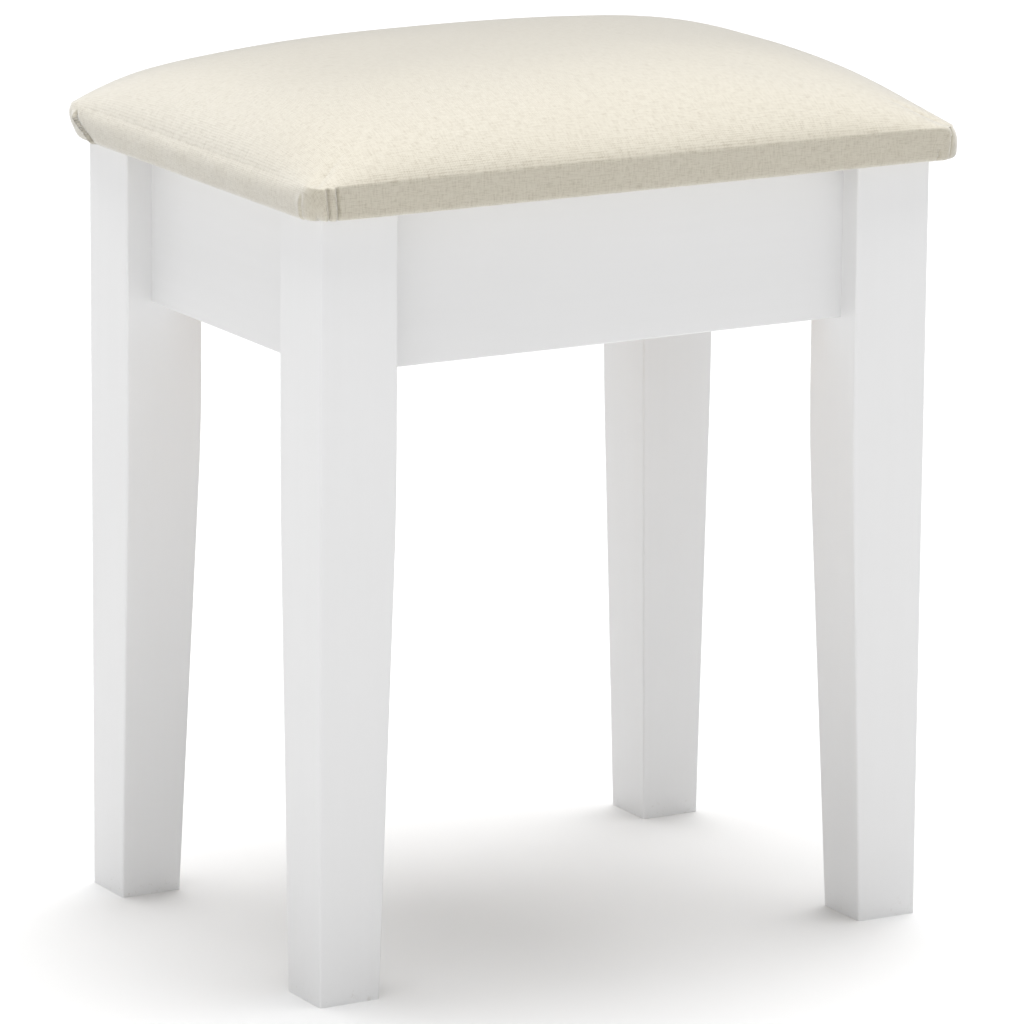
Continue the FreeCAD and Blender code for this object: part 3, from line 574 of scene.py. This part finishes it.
def linen():
    """Plain weave of uneven cream threads, following the cloth as it was cut."""
    pitch = 0.85 * MM
    slub_run = 220.0         # the slubs' changes in each metre of thread
    m = Shader("seat_fabric")
    sheet = m.add("ShaderNodeUVMap", uv_map="cloth").outputs[0]
    random = m.add("ShaderNodeTexNoise", {"Vector": sheet, "Scale": 160.0, "Detail": 1.0})
    centred = m.add(
        "ShaderNodeVectorMath", {0: random.outputs["Color"], 1: (0.5, 0.5, 0.5)}, operation="SUBTRACT")
    wander = m.stretched(centred.outputs[0], (0.0005, 0.0005, 0.0))
    moved = m.add("ShaderNodeVectorMath", {0: sheet, 1: wander}, operation="ADD").outputs[0]
    threads = m.stretched(moved, (math.pi / pitch, math.pi / pitch, 0.0))
    parts = m.add("ShaderNodeSeparateXYZ", {0: threads})
    across = m.math("SINE", parts.outputs[0])
    along = m.math("SINE", parts.outputs[1])
    warp = m.math("ABSOLUTE", across)
    weft = m.math("ABSOLUTE", along)
    over = m.math("MULTIPLY", m.math("MULTIPLY", across, along), 2.5)
    warp_over = m.math("ADD", m.math("MULTIPLY", over, 0.5), 0.5, clamp=True)
    warp_top = m.math("MULTIPLY", warp, warp_over)
    weft_top = m.math("MULTIPLY", weft, m.math("SUBTRACT", 1.0, warp_over))
    weave = m.math("ADD", warp_top, weft_top)
    warp_slub = m.noise(m.stretched(moved, (1 / pitch, slub_run, 0.0)), 0.9, 2.0, 0.6)
    weft_slub = m.noise(m.stretched(moved, (slub_run, 1 / pitch, 0.0)), 0.9, 2.0, 0.6)
    slub = m.math("ADD", m.math("MULTIPLY", warp_slub, 0.5), m.math("MULTIPLY", weft_slub, 0.5))
    fuzz = m.noise(sheet, 2600.0, 2.0, 0.7)
    cloudy = m.noise(sheet, 14.0, 2.0, 0.5)
    # The tone mixes the threads' own uneven tint (slub and fuzz) with painted shade: the weave term
    # darkens the colour along the grooves between the threads.
    tone = m.math("ADD", m.math("MULTIPLY", slub, 0.70), m.math("MULTIPLY", weave, 0.14))
    tone = m.math("ADD", tone, m.math("MULTIPLY", fuzz, 0.16))
    light = m.blend(cloudy, colour(0.555, 0.515, 0.420), colour(0.575, 0.538, 0.446))
    # deep is the darker threads' own colour, and also the painted shade in the grooves between threads.
    deep = colour(0.375, 0.33, 0.25)
    m.set(Base_Color=m.blend(m.ramp(tone, 0.31, 0.55), deep, light))
    m.set(Roughness=m.ramp(tone, 1.9, -0.6))     # 0.76 in the hollows, 0.36 on the threads
    coarse = m.bump(slub, 0.00014, 0.9)
    fine = m.bump(weave, 0.00010, 0.9, coarse)
    m.set(Normal=m.bump(fuzz, 0.00003, 0.7, fine))
    m.set(Sheen_Weight=1.0, Sheen_Roughness=0.5)
    m.set(Specular_IOR_Level=0.25)
    return m.material


def lacquer(name, grain):
    """White satin lacquer: faint grain under it, and small scuffs near the floor.

    grain multiplies the position, and is small along the wood's length.
    """
    m = Shader(name)
    place = m.place()
    streaks = m.noise(m.stretched(place, grain), 1.0, 3.0, 0.6)
    peel = m.noise(place, 420.0, 1.0, 0.4)
    cloudy = m.noise(place, 9.0, 2.0, 0.5)
    height = m.add("ShaderNodeSeparateXYZ", {0: place}).outputs[2]
    near_floor = m.ramp(height, 0.012, 0.0)
    specks = m.ramp(m.noise(place, 340.0, 3.0, 0.65), 0.60, 0.72)
    scuff = m.math("MULTIPLY", m.math("MULTIPLY", near_floor, specks), 0.5)
    paint = m.blend(cloudy, colour(0.785, 0.785, 0.787), colour(0.812, 0.812, 0.814))
    grain_tone = m.math("MULTIPLY", m.ramp(streaks, 0.35, 0.7), 0.10)
    paint = m.blend(grain_tone, paint, colour(0.75, 0.75, 0.742))
    m.set(Base_Color=m.blend(scuff, paint, colour(0.55, 0.52, 0.48)))
    m.set(Roughness=m.math("ADD", 0.33, m.math("MULTIPLY", streaks, 0.14)))
    soft = m.bump(streaks, 0.00006, 0.5)
    m.set(Normal=m.bump(peel, 0.00005, 0.5, soft))
    m.set(Coat_Weight=0.15, Coat_Roughness=0.25)
    return m.material


def timber(name, light, dark, grain, rings):
    """Bare wood: wavy growth rings, pores along the grain and a dull surface."""
    m = Shader(name)
    place = m.place()
    long_way = m.stretched(place, grain)
    sway = m.noise(long_way, 0.35, 2.0, 0.5)
    bands = m.math("SINE", m.math("MULTIPLY", sway, rings))
    bands = m.math("ADD", m.math("MULTIPLY", bands, 0.5), 0.5)
    pores = m.noise(long_way, 6.0, 3.0, 0.7)
    tone = m.math("ADD", m.math("MULTIPLY", bands, 0.7), m.math("MULTIPLY", pores, 0.45), clamp=True)
    m.set(Base_Color=m.blend(tone, dark, light))
    m.set(Roughness=m.math("ADD", 0.62, m.math("MULTIPLY", pores, 0.25)))
    m.set(Normal=m.bump(tone, 0.00015, 0.6))
    m.set(Specular_IOR_Level=0.3)
    return m.material


def plywood(low):
    """Five plies that alternate in tone up the edge, with the face grain along X."""
    ply = 3.0 * MM
    m = Shader("plywood")
    place = m.place()
    height = m.add("ShaderNodeSeparateXYZ", {0: place}).outputs[2]
    layer = m.math("DIVIDE", m.math("SUBTRACT", height, low), ply * 2)
    odd = m.math("GREATER_THAN", m.math("FRACT", layer), 0.5)
    along = m.noise(m.stretched(place, (14.0, 260.0, 260.0)), 1.0, 3.0, 0.6)
    across = m.noise(m.stretched(place, (260.0, 14.0, 260.0)), 1.0, 3.0, 0.6)
    pale = m.blend(along, colour(0.50, 0.36, 0.20), colour(0.68, 0.54, 0.35))
    dark = m.blend(across, colour(0.30, 0.20, 0.10), colour(0.50, 0.36, 0.20))
    m.set(Base_Color=m.blend(odd, pale, dark))
    m.set(Roughness=m.math("ADD", 0.6, m.math("MULTIPLY", along, 0.3)))
    m.set(Normal=m.bump(along, 0.0002, 0.6))
    return m.material


def zinc():
    """Zinc plating with a faint blotchy tint and fine tool marks."""
    m = Shader("zinc_steel")
    place = m.place()
    blotch = m.noise(place, 260.0, 2.0, 0.5)
    marks = m.noise(m.stretched(place, (3000.0, 3000.0, 400.0)), 1.0, 2.0, 0.6)
    m.set(Base_Color=m.blend(blotch, colour(0.60, 0.62, 0.66), colour(0.74, 0.73, 0.68)))
    m.set(Metallic=1.0)
    m.set(Roughness=m.math("ADD", 0.26, m.math("MULTIPLY", blotch, 0.2)))
    m.set(Normal=m.bump(marks, 0.00003, 0.5))
    return m.material


def finish_nodes(nodes, finish):
    """Give CAD nodes a material."""
    for name in nodes:
        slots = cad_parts[name].data.materials
        slots.clear()
        slots.append(finish)


def dress_frame():
    """Materials of every carried-over CAD node."""
    upright = lacquer("lacquer_upright", (190.0, 190.0, 9.0))
    along_x = lacquer("lacquer_along_x", (9.0, 190.0, 190.0))
    along_y = lacquer("lacquer_along_y", (190.0, 9.0, 190.0))
    finish_nodes(["leg_" + corner for corner in CORNERS], upright)
    finish_nodes(["apron_front", "apron_back"], along_x)
    finish_nodes(["apron_left", "apron_right"], along_y)
    block_wood = timber(
        "raw_wood", colour(0.66, 0.47, 0.27), colour(0.42, 0.26, 0.12), (160.0, 160.0, 18.0), 26.0)
    finish_nodes(["corner_block_" + corner for corner in CORNERS], block_wood)
    beech = timber(
        "beech", colour(0.62, 0.43, 0.26), colour(0.46, 0.29, 0.15), (260.0, 260.0, 260.0), 12.0)
    finish_nodes(["dowels"], beech)
    finish_nodes(["seat_board"], plywood(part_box("seat_board")[0].z))
    metal = ["hanger_bolts", "bolt_washers", "bolt_nuts", "block_screws", "seat_screws", "cover_staples"]
    finish_nodes(metal, zinc())


# ---------------------------------------------------------------- stage


def add_floor():
    half = 30.0
    outline = [(-half, -half, 0), (half, -half, 0), (half, half, 0), (-half, half, 0)]
    mesh = bpy.data.meshes.new("floor")
    mesh.from_pydata(outline, [], [(0, 1, 2, 3)])
    m = Shader("floor")
    grain = m.noise(m.place(), 3.0, 2.0, 0.5)
    m.set(Base_Color=m.blend(grain, colour(0.74, 0.74, 0.74), colour(0.76, 0.76, 0.76)))
    m.set(Roughness=0.9)
    m.set(Specular_IOR_Level=0.1)
    mesh.materials.append(m.material)
    floor = bpy.data.objects.new("floor", mesh)
    bpy.context.scene.collection.objects.link(floor)


def add_sun(name, azimuth, height, strength, softness):
    """A wide, even light from a direction: azimuth 0 is in front of the stool, 90 is its right."""
    light = bpy.data.lights.new(name, "SUN")
    light.energy = strength
    light.angle = math.radians(softness)
    lamp = bpy.data.objects.new(name, light)
    turn = math.radians(azimuth)
    lift = math.radians(height)
    towards = Vector((math.sin(turn) * math.cos(lift), -math.cos(turn) * math.cos(lift), math.sin(lift)))
    lamp.rotation_euler = towards.to_track_quat("Z", "Y").to_euler()
    lamp.location = towards * 3
    bpy.context.scene.collection.objects.link(lamp)


def add_sky(strength):
    world = bpy.data.worlds.new("studio")
    world.use_nodes = True
    sky = world.node_tree.nodes["Background"]
    sky.inputs["Color"].default_value = colour(1.0, 1.0, 1.0)
    sky.inputs["Strength"].default_value = strength
    bpy.context.scene.world = world


def add_camera():
    ahead = Vector((
        math.sin(CAMERA_AZIMUTH) * math.cos(CAMERA_DROP),
        math.cos(CAMERA_AZIMUTH) * math.cos(CAMERA_DROP),
        -math.sin(CAMERA_DROP)))
    level = Vector((math.cos(CAMERA_AZIMUTH), -math.sin(CAMERA_AZIMUTH), 0.0))
    upward = level.cross(ahead)
    right = level * math.cos(CAMERA_ROLL) + upward * math.sin(CAMERA_ROLL)
    up = right.cross(ahead)
    lens = bpy.data.cameras.new("camera")
    lens.lens = CAMERA_LENS
    lens.sensor_width = CAMERA_SENSOR
    lens.clip_end = 200.0
    camera = bpy.data.objects.new("camera", lens)
    turn = Matrix((right, up, -ahead)).transposed()
    camera.matrix_world = Matrix.Translation(CAMERA_AT) @ turn.to_4x4()
    bpy.context.scene.collection.objects.link(camera)
    bpy.context.scene.camera = camera


# ---------------------------------------------------------------- the whole scene

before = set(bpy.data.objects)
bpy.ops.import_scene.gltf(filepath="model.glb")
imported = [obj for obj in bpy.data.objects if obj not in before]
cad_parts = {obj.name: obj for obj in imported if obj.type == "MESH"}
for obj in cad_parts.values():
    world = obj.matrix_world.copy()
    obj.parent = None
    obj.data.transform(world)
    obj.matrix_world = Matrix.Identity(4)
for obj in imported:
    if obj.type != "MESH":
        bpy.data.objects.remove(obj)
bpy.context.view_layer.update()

low_corner, high_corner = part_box("seat_cover")
board_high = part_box("seat_board")[1]
BOARD_HALF = (board_high.x / MM, board_high.y / MM)      # the cushion's functions use this
half_x = high_corner.x / MM
half_y = high_corner.y / MM

moves = simulate_crown(half_x, half_y)
print("cloth moved at most %.2f mm up, %.2f mm down" % (moves[..., 2].max(), moves[..., 2].min()))
cushion = build_cushion(half_x, half_y, low_corner.z, moves)
close_underside(cushion.data)
cushion.data.materials.append(linen())
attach(cushion, "root")
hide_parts("seat_foam", "seat_cover")

dress_frame()
add_floor()
add_sky(0.30)
add_sun("key_light", 142.0, 79.0, 4.3, 60.0)
add_sun("fill_light", -40.0, 8.0, 0.85, 90.0)
add_camera()
bpy.context.scene.view_settings.view_transform = "Standard"
